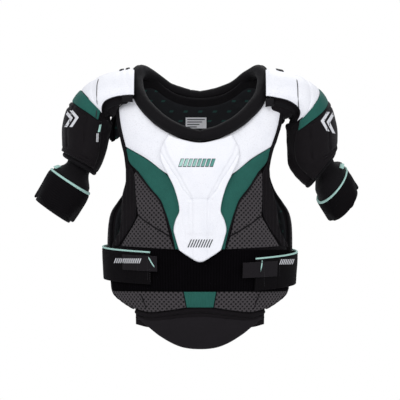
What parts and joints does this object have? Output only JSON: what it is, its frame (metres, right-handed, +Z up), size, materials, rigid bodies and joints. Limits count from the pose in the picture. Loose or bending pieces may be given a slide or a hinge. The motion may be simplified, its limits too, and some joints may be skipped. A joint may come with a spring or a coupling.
{
  "type": "hockey shoulder pads",
  "caption": "Padded upper-body protector with neck roll, shoulder caps, bicep guards, elastic cuffs, side straps and a fold-up belly flap.",
  "frame": {"origin": "midway between the shoulders, at the height where the pads hang on the wearer's shoulders", "axes": "+X across the shoulders, to the right as seen from the front, +Y from the chest to the back, +Z up; left and right in the names are as seen from the front"},
  "size_m": [0.5994, 0.2391, 0.525],
  "materials": {
    "white_shell": "satin moulded plastic",
    "white_panel": "smooth coated cloth over foam",
    "green_panel": "smooth coated cloth",
    "mint_trim": "soft printed piping and tape",
    "black_cloth": "brushed tricot over foam",
    "charcoal_cloth": "smooth stretch cloth over foam",
    "collar_cloth": "soft brushed knit",
    "grey_mesh": "perforated spacer mesh",
    "dark_liner": "fine knitted lining",
    "elastic": "ribbed elastic loop cloth",
    "webbing": "woven nylon webbing",
    "foam": "closed-cell foam",
    "stiff_plastic": "fine matt moulded plastic",
    "print_grey": "flat rubbery print"
  },
  "bodies": {
    "torso": {"front_liner": "dark_liner", "front_foam": "foam", "sternum_plate": "white_shell", "belly_band": "elastic", "hem_insert": "green_panel", "belly_flap_piping": "black_cloth", "collar_roll": "collar_cloth", "back_liner": "dark_liner", "back_foam": "foam", "back_cover": "grey_mesh", "spine_guard": "stiff_plastic", "chest_panel_left": "white_panel", "chest_band_left": "green_panel", "mesh_upper_left": "grey_mesh", "mesh_lower_left": "grey_mesh", "side_panel_left": "black_cloth", "hem_mesh_left": "grey_mesh", "shoulder_pad_left": "foam", "chest_panel_right": "white_panel", "chest_band_right": "green_panel", "mesh_upper_right": "grey_mesh", "mesh_lower_right": "grey_mesh", "side_panel_right": "black_cloth", "hem_mesh_right": "grey_mesh", "shoulder_pad_right": "foam"},
    "cap_left": {"cap_shell_left": "white_panel", "cap_insert_left": "stiff_plastic", "cap_base_left": "black_cloth", "front_webbing_left": "webbing", "back_webbing_left": "webbing"},
    "arm_left": {"arm_top_panel_left": "white_panel", "arm_stripe_left": "green_panel", "arm_guard_shell_left": "black_cloth", "arm_base_left": "black_cloth", "arm_sleeve_left": "elastic", "arm_cuff_left": "elastic", "cuff_piping_left": "mint_trim", "sleeve_loop_left": "mint_trim"},
    "cuff_end_left": {"cuff_strap_left": "elastic"},
    "strap_left": {"torso_strap_left": "elastic", "strap_piping_left": "mint_trim", "strap_tab_left": "black_cloth"},
    "cap_right": {"cap_shell_right": "white_panel", "cap_insert_right": "stiff_plastic", "cap_base_right": "black_cloth", "front_webbing_right": "webbing", "back_webbing_right": "webbing"},
    "arm_right": {"arm_top_panel_right": "white_panel", "arm_stripe_right": "green_panel", "arm_guard_shell_right": "black_cloth", "arm_base_right": "black_cloth", "arm_sleeve_right": "elastic", "arm_cuff_right": "elastic", "cuff_piping_right": "mint_trim", "sleeve_loop_right": "mint_trim"},
    "cuff_end_right": {"cuff_strap_right": "elastic"},
    "strap_right": {"torso_strap_right": "elastic", "strap_piping_right": "mint_trim", "strap_tab_right": "black_cloth"},
    "flap": {"belly_flap": "charcoal_cloth"}
  },
  "joints": [
    {"name": "cap_left_lift", "type": "hinge", "parent": "torso", "child": "cap_left", "pos_m": [-0.1315, 0, 0.06], "axis": [0, 1, 0], "range_deg": [0, 40]},
    {"name": "arm_left_swing", "type": "hinge", "parent": "cap_left", "child": "arm_left", "pos_m": [-0.19508, 0, 0.04013], "axis": [0, 1, 0], "range_deg": [0, 40]},
    {"name": "cuff_left_open", "type": "hinge", "parent": "arm_left", "child": "cuff_end_left", "pos_m": [-0.24224, 0.04679, -0.18453], "axis": [-0.524, -0.0337, -0.8511], "range_deg": [0, 75]},
    {"name": "strap_left_open", "type": "hinge", "parent": "torso", "child": "strap_left", "pos_m": [-0.16905, 0.03317, -0.29912], "axis": [0, 0, -1], "range_deg": [0, 90]},
    {"name": "cap_right_lift", "type": "hinge", "parent": "torso", "child": "cap_right", "pos_m": [0.1315, 0, 0.06], "axis": [0, -1, 0], "range_deg": [0, 40]},
    {"name": "arm_right_swing", "type": "hinge", "parent": "cap_right", "child": "arm_right", "pos_m": [0.19646, -0.00921, 0.03907], "axis": [0, -1, 0], "range_deg": [0, 40]},
    {"name": "cuff_right_open", "type": "hinge", "parent": "arm_right", "child": "cuff_end_right", "pos_m": [0.2391, 0.04722, -0.17465], "axis": [-0.5226, 0.0115, 0.8525], "range_deg": [0, 75]},
    {"name": "strap_right_open", "type": "hinge", "parent": "torso", "child": "strap_right", "pos_m": [0.16865, 0.03314, -0.30714], "axis": [0, 0, 1], "range_deg": [0, 90]},
    {"name": "belly_flap_fold", "type": "hinge", "parent": "torso", "child": "flap", "pos_m": [0, -0.11, -0.393], "axis": [-1, 0, 0], "range_deg": [0, 75]}
  ]
}
